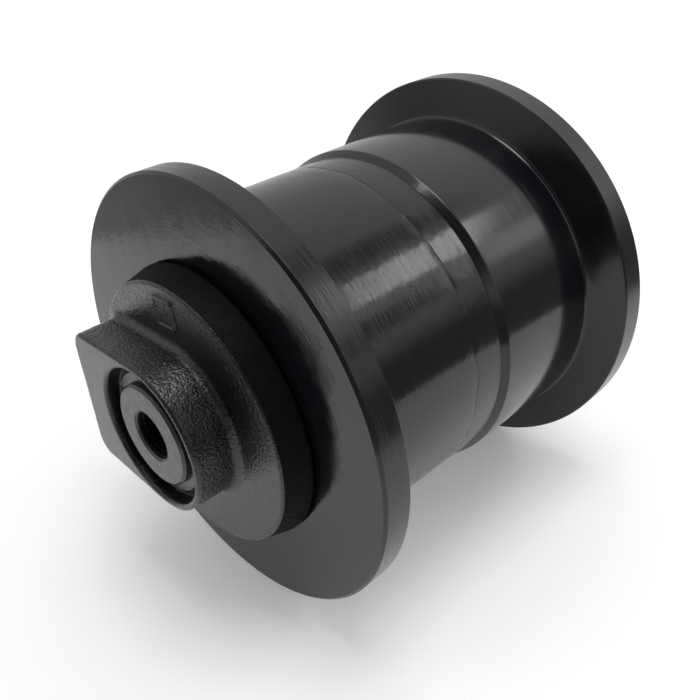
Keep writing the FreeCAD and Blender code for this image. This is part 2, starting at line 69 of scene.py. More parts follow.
# ---- sizes that the frame's boxes don't give ----
REAR_TREAD = FRONT_TREAD + 2.0 * MM  # the step's height
STEP_TOP = WELD_REAR + 3.1 * MM
STEP_ROUND = 1.2 * MM
ROOT_REACH = 58.0 * MM
RIM_REACH = 62.3 * MM
RIM_CHAMFER = 0.5 * MM
FACE_CHAMFER = 1.0 * MM
ROOT_ROUND = 1.5 * MM
EDGE_ROUND = 0.25 * MM
LABYRINTH_RADIUS = 42.5 * MM
LABYRINTH_FLOOR = 69.0 * MM
SEAT_MOUTH = 37.4 * MM
SEAT_FLOOR = 36.0 * MM
SEAT_REACH = 57.0 * MM
BUSH_RADIUS = 25.5 * MM
BUSH_SHOULDER = 10.15 * MM
CAVITY_RADIUS = 36.0 * MM
WELD_ROOT_RADIUS = 57.0 * MM
WELD_ROOT_HALF = 1.0 * MM

# the weld's toe: its valley's depth, how far that fades out each way, and how far its wander pulls the tread
TOE_DEPTH = 0.20 * MM
TOE_FADE_TREAD = 1.6 * MM
TOE_FADE_WELD = 0.45 * MM
TOE_PULL = 3.0 * MM
RIPPLE_DEPTH = 0.04 * MM

# the collar
SKIRT_REACH = 70.0 * MM
SKIRT_RADIUS = 41.5 * MM
SKIRT_BORE = 37.05 * MM
COLLAR_BACK = 74.3 * MM
SEAT_WALL = 79.0 * MM
DISC_REACH = 85.6 * MM
DISC_RADIUS = 50.1 * MM
DISC_ROUND = 1.2 * MM
BOSS_RADIUS = 28.2 * MM
FLAT_OFFSET = 40.5 * MM
FLAT_HALF = 26.5 * MM
FLAT_NORMAL = Vector((-1.0, 0.0))
BOSS_CORNER = 7.0 * MM
FOOT_ROUND = 3.0 * MM
RIM_ROUND = 0.8 * MM
BOSS_EDGE = 1.3 * MM
MOUTH_ROUND = 1.3 * MM
COUNTERBORE_RADIUS = 25.5 * MM
SHAFT_SEAT = 19.0 * MM
PAD_OFFSET = 40.3 * MM
PAD_HALF = 6.0 * MM
PAD_CORNER = 2.0 * MM
PAD_RISE = 0.8 * MM
PAD_ROOT = 0.35 * MM
PAD_SIDE = 0.7 * MM
PAD_BORDER = 1.5 * MM
PAD_FIELD = 0.45 * MM
PAD_TURN = math.radians(3)

# the shaft's end
THREAD_RADIUS = 9.0 * MM
THREAD_CREST = 8.1 * MM
THREAD_PITCH = 1.5 * MM
THREAD_DEPTH = 33.5 * MM
THREAD_MOUTH = 0.8 * MM
THREAD_GAP = 0.03 * MM
THREAD_FLANK = 1.25

# the casting's skin: cells to the metre, and height
SAND_SCALE = 800.0
SAND_HEIGHT = 0.09 * MM
ROLL_SCALE = 110.0
ROLL_HEIGHT = 0.16 * MM
PAD_SHARE = 0.5

# how finely the casting and the turned pieces are divided
GRAIN_STEP = 0.45 * MM
WALL_STEP = 1.5 * MM
FRONT_STEPS = 16
DISC_STEPS = 40
EDGE_STEPS = 8
ROUND_STEPS = 300
TANGENT_STEPS = 56
CORNER_STEPS = 12
FLAT_STEPS = 90
PAD_STEPS = 90
AROUND_TURNED = 360
AROUND_THREAD = 48
ROWS_PER_TURN = 12
OUTLINE_ROUND_STEPS = 5
SHARP_ANGLE = math.radians(32)

# how much of the casting's grain each surface of a collar has
MACHINED = 0.0
WALL_GRAIN = 0.2
DISC_GRAIN = 0.25
BACK_GRAIN = 0.3
FRONT_GRAIN = 0.35
RIM_GRAIN = 0.5
EDGE_GRAIN = 0.7
FULL_GRAIN = 1.0

# the paint on the flanges' rims: added roughness, and how wide its edge is
RIM_WEAR = 0.10
RIM_WEAR_START = 1.2 * MM
RIM_WEAR_FULL = 0.2 * MM

# ---- the studio: degrees, and brightness where white paper is 1 ----
# the collars' flats face -X, and the camera, the lights and the room are rolled about the axle instead
ROLL_ON_AXLE = 4.0
STUDIO_TURN = Matrix.Rotation(math.radians(ROLL_ON_AXLE), 3, "Y")
FLOOR_SIZE = 0.39
FLOOR_GLOW = 0.20
LIGHT_DISTANCE = 1.6
CAMERA_PLACE = Vector((0.1877, -0.1927, 0.1779))
CAMERA_TILT = 35.676
CAMERA_AZIMUTH = 45.25
CAMERA_LENS = 40.56
BACKDROP_LEVEL = 1.05
HORIZON_BAND = (2.0, 18.0)
HORIZON_LEVEL = 0.18
SKY_LEVEL = 0.88
ROOM_TINT = (0.97, 1.0, 0.975)
ROOM_PATCHES = [
    # azimuth, elevation, inner and outer angle, brightness
    (-75.0, -10.0, 25.0, 70.0, 0.68),
    (46.0, 29.0, 3.0, 8.0, 0.35),
    (56.0, 31.0, 3.0, 9.0, 0.35),
    (10.0, 51.0, 3.0, 9.0, 0.28),
    (33.0, 26.0, 2.0, 7.5, 2.1),
    (46.0, 37.0, 2.0, 6.0, 1.7),
    (150.0, 42.0, 24.0, 42.0, 0.10),
]


# ---- node helpers: the scales of noise are in cells to the metre ----

def new_material(name):
    material = bpy.data.materials.new(name)
    material.use_nodes = True
    tree = material.node_tree
    return material, tree, tree.nodes["Principled BSDF"]


def add_node(tree, kind, **values):
    node = tree.nodes.new(kind)
    for key, value in values.items():
        if isinstance(value, bpy.types.NodeSocket):
            tree.links.new(value, node.inputs[key])
        elif key in node.inputs:
            node.inputs[key].default_value = value
        else:
            setattr(node, key, value)
    return node


def stretched(tree, along, across):
    """Object coordinates scaled differently along the axle and across it."""
    coordinates = add_node(tree, "ShaderNodeTexCoord")
    mapping = add_node(tree, "ShaderNodeMapping", Vector=coordinates.outputs["Object"])
    mapping.inputs["Scale"].default_value = (across, along, across)
    return mapping.outputs["Vector"]


def noise_value(tree, vector, scale, detail=4.0, roughness=0.5):
    node = add_node(tree, "ShaderNodeTexNoise", Vector=vector, Scale=scale, Detail=detail)
    node.inputs["Roughness"].default_value = roughness
    return node.outputs["Fac"]


def remap(tree, value, low, high, to_low, to_high):
    node = add_node(tree, "ShaderNodeMapRange", Value=value)
    for key, number in (("From Min", low), ("From Max", high), ("To Min", to_low), ("To Max", to_high)):
        node.inputs[key].default_value = number
    return node.outputs["Result"]


def combine(tree, operation, first, second):
    """One arithmetic step on two node values."""
    node = add_node(tree, "ShaderNodeMath", operation=operation)
    tree.links.new(first, node.inputs[0])
    tree.links.new(second, node.inputs[1])
    return node.outputs["Value"]


def smooth_step(tree, value, low, high, to_low, to_high):
    result = remap(tree, value, low, high, to_low, to_high)
    result.node.interpolation_type = "SMOOTHSTEP"
    return result


def bump(tree, height, distance, normal=None):
    node = add_node(tree, "ShaderNodeBump", Height=height, Distance=distance, Strength=1.0)
    if normal is not None:
        tree.links.new(normal, node.inputs["Normal"])
    return node.outputs["Normal"]


def blend_colour(tree, factor, first, second):
    node = tree.nodes.new("ShaderNodeMix")
    node.data_type = "RGBA"
    tree.links.new(factor, node.inputs["Factor"])
    node.inputs["A"].default_value = (*first, 1)
    node.inputs["B"].default_value = (*second, 1)
    return node.outputs["Result"]


def radius_of(tree):
    """Distance from the axle, as a node value in metres."""
    flat = stretched(tree, 0.0, 1.0)
    node = add_node(tree, "ShaderNodeVectorMath", operation="LENGTH")
    tree.links.new(flat, node.inputs[0])
    return node.outputs["Value"]


# ---- materials ----

def ring_marks(tree):
    """Fine rings left by the lathe, on the tread and on the flange faces, fading in and out."""
    plain = stretched(tree, 1.0, 1.0)
    along = add_node(tree, "ShaderNodeSeparateXYZ", Vector=plain).outputs["Y"]
    place = add_node(tree, "ShaderNodeCombineXYZ", X=radius_of(tree), Y=along).outputs["Vector"]
    wander = add_node(tree, "ShaderNodeVectorMath", operation="SCALE")
    tree.links.new(add_node(tree, "ShaderNodeTexNoise", Vector=plain, Scale=30.0).outputs["Color"],
                   wander.inputs[0])
    wander.inputs["Scale"].default_value = 0.004
    shifted = add_node(tree, "ShaderNodeVectorMath", operation="ADD")
    tree.links.new(place, shifted.inputs[0])
    tree.links.new(wander.outputs["Vector"], shifted.inputs[1])
    rings = noise_value(tree, shifted.outputs["Vector"], 1400.0, 3.0, 0.65)
    patches = remap(tree, noise_value(tree, plain, 110.0, 3.0), 0.35, 0.65, 0.1, 1.0)
    return combine(tree, "MULTIPLY", rings, patches)


def streaks(tree):
    """Short scratches that run round the axle, as on a surface left straight from the lathe."""
    return noise_value(tree, stretched(tree, 14.0, 1.0), 70.0, 5.0, 0.6)


def shell_paint(name, mark_depth, roughness, streak_depth=0.0):
    """Gloss black enamel over turned steel, which lets the marks of the lathe show. Depths are in mm."""
    material, tree, shader = new_material(name)
    plain = stretched(tree, 1.0, 1.0)
    cloud = noise_value(tree, plain, 60.0)
    colour = blend_colour(tree, cloud, (0.004, 0.004, 0.006), (0.008, 0.008, 0.011))
    tree.links.new(colour, shader.inputs["Base Color"])
    scratched = streaks(tree)
    rough = remap(tree, scratched, 0.35, 0.65, *roughness)
    rim = smooth_step(tree, radius_of(tree), FLANGE_RADIUS - RIM_WEAR_START, FLANGE_RADIUS - RIM_WEAR_FULL,
                      0.0, RIM_WEAR)
    tree.links.new(combine(tree, "ADD", rough, rim), shader.inputs["Roughness"])
    marks = bump(tree, ring_marks(tree), mark_depth * MM)
    if streak_depth:
        marks = bump(tree, scratched, streak_depth * MM, marks)
    peel = noise_value(tree, plain, 900.0, 2.0)
    tree.links.new(bump(tree, peel, 0.008 * MM, marks), shader.inputs["Normal"])
    return material


def cast_paint(name):
    """Gloss black enamel that follows the grain of a sand casting."""
    material, tree, shader = new_material(name)
    plain = stretched(tree, 1.0, 1.0)
    colour = blend_colour(tree, noise_value(tree, plain, 90.0), (0.004, 0.004, 0.006), (0.009, 0.009, 0.012))
    tree.links.new(colour, shader.inputs["Base Color"])
    rough = remap(tree, noise_value(tree, plain, 300.0), 0.3, 0.7, 0.06, 0.16)
    tree.links.new(rough, shader.inputs["Roughness"])
    grain = noise_value(tree, plain, 1150.0, 2.0, 0.6)
    tree.links.new(bump(tree, grain, 0.30 * MM), shader.inputs["Normal"])
    return material


def side_paint(name):
    """Thin dull black on the rough side of a collar; in the tapped threads it is painted shade, darker and
    duller than the shaft's own steel.
    """
    material, tree, shader = new_material(name)
    plain = stretched(tree, 1.0, 1.0)
    colour = blend_colour(tree, noise_value(tree, plain, 300.0), (0.003, 0.003, 0.004), (0.006, 0.006, 0.0075))
    tree.links.new(colour, shader.inputs["Base Color"])
    shader.inputs["Specular IOR Level"].default_value = 0.06
    rough = remap(tree, noise_value(tree, plain, 500.0), 0.3, 0.7, 0.40, 0.60)
    tree.links.new(rough, shader.inputs["Roughness"])
    grain = noise_value(tree, plain, 1600.0, 3.0, 0.6)
    tree.links.new(bump(tree, grain, 0.15 * MM), shader.inputs["Normal"])
    return material


def worn_steel(name, dark, pale):
    """Turned steel under a thin wash of paint, with fine rings from the lathe."""
    material, tree, shader = new_material(name)
    plain = stretched(tree, 1.0, 1.0)
    colour = blend_colour(tree, noise_value(tree, plain, 250.0, 6.0, 0.65), dark, pale)
    tree.links.new(colour, shader.inputs["Base Color"])
    rough = remap(tree, noise_value(tree, plain, 400.0), 0.3, 0.7, 0.22, 0.38)
    tree.links.new(rough, shader.inputs["Roughness"])
    rings = add_node(tree, "ShaderNodeCombineXYZ", X=radius_of(tree))
    turned = noise_value(tree, rings.outputs["Vector"], 1800.0, 2.0)
    tree.links.new(bump(tree, turned, 0.02 * MM), shader.inputs["Normal"])
    return material


def plain_metal(name, colour, roughness, grain):
    """Bright metal with a fine lathe grain, for pieces inside the roller."""
    material, tree, shader = new_material(name)
    plain = stretched(tree, 1.0, 1.0)
    darker = tuple(channel * 0.7 for channel in colour)
    tint = blend_colour(tree, noise_value(tree, plain, 200.0), darker, colour)
    tree.links.new(tint, shader.inputs["Base Color"])
    shader.inputs["Metallic"].default_value = 1.0
    rough = remap(tree, noise_value(tree, plain, 500.0), 0.3, 0.7, roughness - 0.06, roughness + 0.08)
    tree.links.new(rough, shader.inputs["Roughness"])
    turned = noise_value(tree, stretched(tree, 1.0, 0.05), grain, 3.0)
    tree.links.new(bump(tree, turned, 0.02 * MM), shader.inputs["Normal"])
    return material


def black_rubber(name):
    """Matt black nitrile with a faint moulded grain."""
    material, tree, shader = new_material(name)
    plain = stretched(tree, 1.0, 1.0)
    tint = blend_colour(tree, noise_value(tree, plain, 400.0), (0.012, 0.012, 0.012), (0.028, 0.028, 0.027))
    tree.links.new(tint, shader.inputs["Base Color"])
    rough = remap(tree, noise_value(tree, plain, 900.0), 0.3, 0.7, 0.55, 0.75)
    tree.links.new(rough, shader.inputs["Roughness"])
    tree.links.new(bump(tree, noise_value(tree, plain, 1500.0), 0.03 * MM), shader.inputs["Normal"])
    return material


# ---- turned pieces ----

def round_corners(corners):
    """Points of a closed outline whose corners (reach, radius, round) are arcs."""
    points = []
    count = len(corners)
    for index, (reach, radius, size) in enumerate(corners):
        here = Vector((reach, radius))
        before = Vector(corners[index - 1][:2])
        after = Vector(corners[(index + 1) % count][:2])
        into = (here - before).normalized()
        out = (after - here).normalized()
        bend = into.angle_signed(out, 0.0)
        if size == 0.0 or abs(bend) < 1e-6:
            points.append(here)
            continue
        cut = size * math.tan(abs(bend) / 2)
        start = here - into * cut
        side = Vector((-into.y, into.x)) * (-1 if bend > 0 else 1)
        centre = start + side * size
        arm = start - centre
        for step in range(OUTLINE_ROUND_STEPS + 1):
            angle = -bend * step / OUTLINE_ROUND_STEPS
            turned = Vector((arm.x * math.cos(angle) - arm.y * math.sin(angle),
                             arm.x * math.sin(angle) + arm.y * math.cos(angle)))
            points.append(centre + turned)
    return points


def split_runs(points, spacing):
    """Divide the straight runs of a closed outline so that no step is longer than spacing."""
    divided = []
    for index, point in enumerate(points):
        after = points[(index + 1) % len(points)]
        steps = max(1, math.ceil((after - point).length / spacing))
        divided += [point.lerp(after, step / steps) for step in range(steps)]
    return divided


def turned_piece(name, corners, material, spacing, mirror=1, shape=None):
    """Spin a closed outline about the axle. shape(y, radius, angle) gives a point's own y and radius."""
    outline = split_runs(round_corners(corners), spacing)
    vertices = []
    for segment in range(AROUND_TURNED):
        angle = TAU * segment / AROUND_TURNED
        for point in outline:
            along = mirror * point.x
            radius = point.y
            if shape:
                along, radius = shape(along, radius, angle)
            vertices.append((radius * math.cos(angle), along, radius * math.sin(angle)))
    count = len(outline)
    faces = []
    for segment in range(AROUND_TURNED):
        following = (segment + 1) % AROUND_TURNED
        for index in range(count):
            after = (index + 1) % count
            face = (segment * count + index, following * count + index,
                    following * count + after, segment * count + after)
            faces.append(face if mirror > 0 else face[::-1])
    return make_piece(name, vertices, faces, material, "roller")


def make_piece(name, vertices, faces, material, body):
    """A smooth-shaded mesh that rides a body, with its hard edges kept sharp."""
    mesh = bpy.data.meshes.new(name)
    mesh.from_pydata(vertices, [], faces)
    mesh.validate()
    mesh.materials.append(material)
    piece = bpy.data.objects.new(name, mesh)
    bpy.context.scene.collection.objects.link(piece)
    mesh.shade_smooth()
    mesh.set_sharp_from_angle(angle=SHARP_ANGLE)
    weighted = piece.modifiers.new("weighted_normals", "WEIGHTED_NORMAL")
    weighted.weight = 100
    weighted.keep_sharp = True
    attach(piece, body)
    return piece


def shell_corners(tread, bevel):
    """The outline of one half of the shell: reach from the weld, radius and corner round."""
    return [
        (0.0, CAVITY_RADIUS, 0.0),
        (0.0, WELD_ROOT_RADIUS, 0.0),
        *bevel,
        (ROOT_REACH, tread, ROOT_ROUND),
        (RIM_REACH, FLANGE_RADIUS - RIM_CHAMFER, EDGE_ROUND),
        (RIM_REACH + RIM_CHAMFER, FLANGE_RADIUS, EDGE_ROUND),
        (FACE_REACH - FACE_CHAMFER, FLANGE_RADIUS, EDGE_ROUND),
        (FACE_REACH, FLANGE_RADIUS - FACE_CHAMFER, EDGE_ROUND),
        (FACE_REACH, LABYRINTH_RADIUS, EDGE_ROUND),
        (LABYRINTH_FLOOR, LABYRINTH_RADIUS, EDGE_ROUND),
        (LABYRINTH_FLOOR, SEAT_MOUTH, EDGE_ROUND),
        (SEAT_REACH, SEAT_FLOOR, EDGE_ROUND),
        (SEAT_REACH, BUSH_RADIUS, 0.0),
        (BUSH_SHOULDER, BUSH_RADIUS, 0.0),
        (BUSH_SHOULDER, CAVITY_RADIUS, 0.0),
    ]


def weld_shape(along, radius, angle):
    """The wandering toe of the weld, with a shallow valley in the tread beside it."""
    on_tread = FRONT_TREAD - 1.5 * MM <= radius <= FRONT_TREAD + 1.0 * MM
    if not on_tread:
        return along, radius
    circle = Vector((math.cos(angle), math.sin(angle), 0.0))
    wander = noise.noise(circle * 5.0) * 1.1 * MM + noise.noise(circle * 17.0) * 0.5 * MM
    depth = TOE_DEPTH * (0.8 + noise.noise(circle * 24.0 + Vector((3.0, 1.0, 0.0))) * 0.7)
    from_toe = along - WELD_FRONT
    nearness = math.exp(-(from_toe / TOE_PULL) ** 2)
    fade = TOE_FADE_TREAD if from_toe < 0.0 else TOE_FADE_WELD
    radius -= depth * math.exp(-abs(from_toe) / fade)
    if from_toe > 0.0:
        ripple = 1.0 + noise.noise(circle * 30.0 + Vector((0.0, 0.0, along * 260.0)))
        radius -= RIPPLE_DEPTH * ripple * min(1.0, from_toe / MM, (WELD_REAR - along) / (2.0 * MM))
    return along + wander * nearness, radius


def make_shell():
    """The two painted halves and the weld between them."""
    front_paint = shell_paint("shell_paint_front", 0.05, (0.05, 0.19), 0.05)
    rear_paint = shell_paint("shell_paint_rear", 0.008, (0.10, 0.18))
    weld_paint = shell_paint("weld_paint", 0.010, (0.10, 0.18))
    front_bevel = [(WELD_ROOT_HALF, WELD_ROOT_RADIUS, 0.0), (-WELD_FRONT, FRONT_TREAD, 0.0)]
    front = turned_piece("painted_front_half", shell_corners(FRONT_TREAD, front_bevel), front_paint,
                         0.8 * MM, mirror=-1, shape=weld_shape)
    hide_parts("shell_front_half")
    rear_bevel = [(WELD_ROOT_HALF, WELD_ROOT_RADIUS, 0.0), (WELD_REAR, FRONT_TREAD, STEP_ROUND),
                  (STEP_TOP, REAR_TREAD, STEP_ROUND)]
    rear = turned_piece("painted_rear_half", shell_corners(REAR_TREAD, rear_bevel), rear_paint, 2.0 * MM)
    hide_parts("shell_rear_half")
    weld = turned_piece("painted_weld", [
        (WELD_FRONT, FRONT_TREAD, 0.0),
        (WELD_REAR, FRONT_TREAD, 0.0),
        (WELD_ROOT_HALF, WELD_ROOT_RADIUS, 0.0),
        (-WELD_ROOT_HALF, WELD_ROOT_RADIUS, 0.0),
    ], weld_paint, 0.3 * MM, shape=weld_shape)
    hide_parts("shell_weld")


# ---- the cast collars ----

def boss_outline(samples):
    """Points and outward normals round the boss: a round side, two tangents and a flat with round corners."""
    corner = Vector((-FLAT_OFFSET, FLAT_HALF))
    lean = math.atan2(corner.y, corner.x) - math.acos(BOSS_RADIUS / corner.length)
    tangent = Vector((math.cos(lean), math.sin(lean))) * BOSS_RADIUS
    round_side = []
    for index in range(samples):
        angle = -lean + 2 * lean * index / samples
        outward = Vector((math.cos(angle), math.sin(angle)))
        round_side.append((outward * BOSS_RADIUS, outward))
    into = (corner - tangent).normalized()
    normal = Vector((-into.y, into.x))
    normal = normal if normal.dot(tangent) > 0 else -normal
    bend = normal.angle(FLAT_NORMAL)
    end = corner - into * BOSS_CORNER * math.tan(bend / 2)
    upper = [(tangent.lerp(end, step / TANGENT_STEPS), normal) for step in range(TANGENT_STEPS)]
    centre = end - normal * BOSS_CORNER
    start_angle = math.atan2(normal.y, normal.x)
    for step in range(CORNER_STEPS):
        angle = start_angle + (math.pi - start_angle) * step / CORNER_STEPS
        outward = Vector((math.cos(angle), math.sin(angle)))
        upper.append((centre + outward * BOSS_CORNER, outward))
    flat = [(Vector((-FLAT_OFFSET, centre.y * (1 - 2 * step / FLAT_STEPS))), FLAT_NORMAL)
            for step in range(FLAT_STEPS + 1)]
    lower = [(Vector((point.x, -point.y)), Vector((outward.x, -outward.y))) for point, outward in upper]
    return round_side + upper + flat + lower[:0:-1]


def steps_between(start, end, spacing):
    """Shares of the way from start to end, in even steps no longer than spacing."""
    count = max(1, math.ceil(abs(end - start) / spacing))
    return [step / count for step in range(1, count + 1)]


def arc_steps(count):
    """Angles of a quarter turn in even steps."""
    return [math.pi / 2 * step / count for step in range(1, count + 1)]


def ease(share):
    """A smooth rise from 0 to 1."""
    share = max(0.0, min(1.0, share))
    return share * share * (3 - 2 * share)


def pad_height(across, up):
    """Height of the blank cast pad's skin over the disc: a rounded border round a lower field."""
    corner = Vector((max(0.0, abs(across) - PAD_HALF + PAD_CORNER), max(0.0, abs(up) - PAD_HALF + PAD_CORNER)))
    inside = PAD_CORNER - corner.length
    if corner.length == 0.0:
        inside = PAD_HALF - max(abs(across), abs(up))
    rise = -PAD_ROOT + (PAD_RISE + PAD_ROOT) * ease(inside / PAD_SIDE)
    return rise - PAD_FIELD * ease((inside - PAD_BORDER) / PAD_SIDE)


def make_pad(end, material):
    """The blank raised pad on the collar's disc, where the casting has room for a mark."""
    side = -1 if end == "front" else 1
    vertices = []
    for row in range(PAD_STEPS + 1):
        for column in range(PAD_STEPS + 1):
            across = PAD_HALF * (2 * column / PAD_STEPS - 1)
            up = PAD_HALF * (2 * row / PAD_STEPS - 1)
            reach = DISC_REACH + pad_height(across, up)
            x = across * math.cos(PAD_TURN) + (up - PAD_OFFSET) * math.sin(PAD_TURN)
            z = -across * math.sin(PAD_TURN) + (up - PAD_OFFSET) * math.cos(PAD_TURN)
            place = Vector((x, reach, z))
            place.y += PAD_SHARE * cast_grain(place)
            vertices.append((place.x, side * place.y, side * place.z))
    faces = []
    for row in range(PAD_STEPS):
        for column in range(PAD_STEPS):
            corner = row * (PAD_STEPS + 1) + column
            above = corner + PAD_STEPS + 1
            faces.append((corner, above, above + 1, corner + 1))
    make_piece("cast_" + end + "_pad", vertices, faces, material, "axle")


def counterbore_stations(ray):
    """The counterbore's floor, wall and rounded mouth, along one ray from the axle."""
    floor_width = COUNTERBORE_RADIUS - SHAFT_SEAT
    wall_height = BOSS_REACH - MOUTH_ROUND - COUNTERBORE_FLOOR
    yield ray * SHAFT_SEAT, COUNTERBORE_FLOOR, MACHINED
    for share in steps_between(0.0, floor_width, 2 * GRAIN_STEP):
        yield ray * (SHAFT_SEAT + floor_width * share), COUNTERBORE_FLOOR, MACHINED
    for share in steps_between(0.0, wall_height, WALL_STEP):
        yield ray * COUNTERBORE_RADIUS, COUNTERBORE_FLOOR + wall_height * share, WALL_GRAIN
    for turn in arc_steps(4):
        swell = MOUTH_ROUND * (1 - math.cos(turn))
        yield ray * (COUNTERBORE_RADIUS + swell), BOSS_REACH - MOUTH_ROUND * (1 - math.sin(turn)), FRONT_GRAIN


def boss_stations(ray, point, normal):
    """The boss's front, rounded edge, side and rounded foot. Point and normal are those of its outline."""
    inner = ray * (COUNTERBORE_RADIUS + MOUTH_ROUND)
    outer = point - normal * BOSS_EDGE
    for step in range(1, FRONT_STEPS + 1):
        yield inner.lerp(outer, step / FRONT_STEPS), BOSS_REACH, FRONT_GRAIN
    for turn in arc_steps(5):
        drop = BOSS_EDGE * (1 - math.cos(turn))
        yield outer + normal * BOSS_EDGE * math.sin(turn), BOSS_REACH - drop, EDGE_GRAIN
    head = BOSS_REACH - BOSS_EDGE
    foot = DISC_REACH + FOOT_ROUND
    for share in steps_between(foot, head, GRAIN_STEP):
        yield point, head - (head - foot) * share, FULL_GRAIN
    for turn in arc_steps(8):
        spread = FOOT_ROUND * (1 - math.cos(turn))
        yield point + normal * spread, foot - FOOT_ROUND * math.sin(turn), FULL_GRAIN


def disc_stations(ray, point, normal):
    """The disc's front, its rounded edge and the sloping side down to the rim."""
    start = point + normal * FOOT_ROUND
    edge_radius = DISC_RADIUS - DISC_ROUND
    edge = ray * edge_radius
    if edge.length < start.length:
        edge = start.normalized() * edge_radius
    for step in range(1, DISC_STEPS + 1):
        yield start.lerp(edge, step / DISC_STEPS), DISC_REACH, DISC_GRAIN
    sweep = math.pi / 2 - math.atan2(COLLAR_RIM - DISC_RADIUS, DISC_REACH - COLLAR_BACK)
    for step in range(1, EDGE_STEPS + 1):
        turn = sweep * step / EDGE_STEPS
        side_radius = edge_radius + DISC_ROUND * math.sin(turn)
        side_reach = DISC_REACH - DISC_ROUND * (1 - math.cos(turn))
        yield ray * side_radius, side_reach, FULL_GRAIN
    side_end = COLLAR_BACK + RIM_ROUND
    for share in steps_between(side_end, side_reach, GRAIN_STEP):
        radius = side_radius + (COLLAR_RIM - side_radius) * share
        yield ray * radius, side_reach + (side_end - side_reach) * share, FULL_GRAIN


def back_stations(ray):
    """The rim, the back, the skirt and the seal's seat, which the shell hides."""
    yield ray * (COLLAR_RIM - 0.3 * RIM_ROUND), COLLAR_BACK + 0.3 * RIM_ROUND, RIM_GRAIN
    yield ray * (COLLAR_RIM - RIM_ROUND), COLLAR_BACK, BACK_GRAIN
    yield ray * SKIRT_RADIUS, COLLAR_BACK, MACHINED
    yield ray * SKIRT_RADIUS, SKIRT_REACH, MACHINED
    yield ray * SKIRT_BORE, SKIRT_REACH, MACHINED
    yield ray * SEAT_FLOOR, SEAT_WALL, MACHINED
    yield ray * SHAFT_SEAT, SEAT_WALL, MACHINED


def collar_station(point, normal):
    """One section of the collar from the shaft's bore outwards: a list of (place, share of the grain)."""
    ray = point.normalized()
    stations = (*counterbore_stations(ray), *boss_stations(ray, point, normal),
                *disc_stations(ray, point, normal), *back_stations(ray))
    return [(Vector((flat.x, reach, flat.y)), share) for flat, reach, share in stations]


def cast_grain(place):
    """Height of the casting's skin at a place: sand grain over a slow roll."""
    sand = noise.noise(place * SAND_SCALE)
    roll = noise.noise(place * ROLL_SCALE)
    return SAND_HEIGHT * sand + ROLL_HEIGHT * roll


def make_collar(end, face_material, side_material):
    """A cast end collar. The rear one is the same casting turned half a turn about X."""
    outline = boss_outline(ROUND_STEPS)
    sections = [collar_station(point, normal) for point, normal in outline]
    count = len(sections[0])
    grid = [place for section in sections for place, _ in section]
    shares = [share for section in sections for _, share in section]
    faces = []
    for index in range(len(sections)):
        following = (index + 1) % len(sections)
        for station in range(count):
            after = (station + 1) % count
            faces.append((index * count + station, index * count + after,
                          following * count + after, following * count + station))
    name = "cast_" + end + "_collar"
    mesh = bpy.data.meshes.new(name)
    mesh.from_pydata(grid, [], faces)
    mesh.update()
    normals = [vertex.normal.copy() for vertex in mesh.vertices]
    side = -1 if end == "front" else 1
    for vertex, normal, share in zip(mesh.vertices, normals, shares):
        place = vertex.co + normal * share * cast_grain(vertex.co)
        place.y = min(place.y, BOSS_REACH)
        vertex.co = (place.x, side * place.y, side * place.z)
    mesh.validate()
    mesh.materials.append(face_material)
    mesh.materials.append(side_material)
    for face in mesh.polygons:
        reach = abs(face.center.y)
        radius = math.hypot(face.center.x, face.center.z)
        if radius > DISC_RADIUS - 0.2 * MM and reach < DISC_REACH - 0.6 * DISC_ROUND:
            face.material_index = 1
    mesh.shade_smooth()
    piece = bpy.data.objects.new(name, mesh)
    bpy.context.scene.collection.objects.link(piece)
    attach(piece, "axle")
    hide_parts(end + "_collar")


# ---- threads in the shaft's tapped holes ----

def make_thread(end, material):
    """The tapped thread as a sleeve: a plain wall outside and one helical ridge inside."""
    side = -1 if end == "front" else 1
    around = AROUND_THREAD
    length = THREAD_DEPTH - THREAD_MOUTH
    rows = int(length / THREAD_PITCH * ROWS_PER_TURN)
    vertices = []
    for row in range(rows + 1):
        depth = THREAD_MOUTH + length * row / rows
        for step in range(around):
            angle = TAU * step / around
            phase = (depth / THREAD_PITCH + step / around) % 1.0
            flank = min(1.0, abs(2 * phase - 1) * THREAD_FLANK)
            runout = min(1.0, (depth - THREAD_MOUTH) / THREAD_PITCH)
            radius = THREAD_RADIUS - THREAD_GAP - (THREAD_RADIUS - THREAD_CREST) * (1 - flank) * runout
            vertices.append((radius * math.cos(angle), side * (SHAFT_REACH - depth),
                             side * radius * math.sin(angle)))
    wall = len(vertices)
    for depth in (THREAD_MOUTH, THREAD_DEPTH):
        for step in range(around):
            angle = TAU * step / around
            vertices.append((THREAD_RADIUS * math.cos(angle), side * (SHAFT_REACH - depth),
                             side * THREAD_RADIUS * math.sin(angle)))
    rings = [row * around for row in range(rows + 1)] + [wall + around, wall]
    faces = []
    for index, start in enumerate(rings):
        after = rings[(index + 1) % len(rings)]
        for step in range(around):
            following = (step + 1) % around
            faces.append((start + step, after + step, after + following, start + following))
    make_piece(end + "_tapped_thread", vertices, faces, material, "axle")


# ---- pieces kept from the CAD ----

def dress(node, material):
    """Give a CAD node a better material."""
    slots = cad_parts[node].data.materials
    slots.clear()
    slots.append(material)


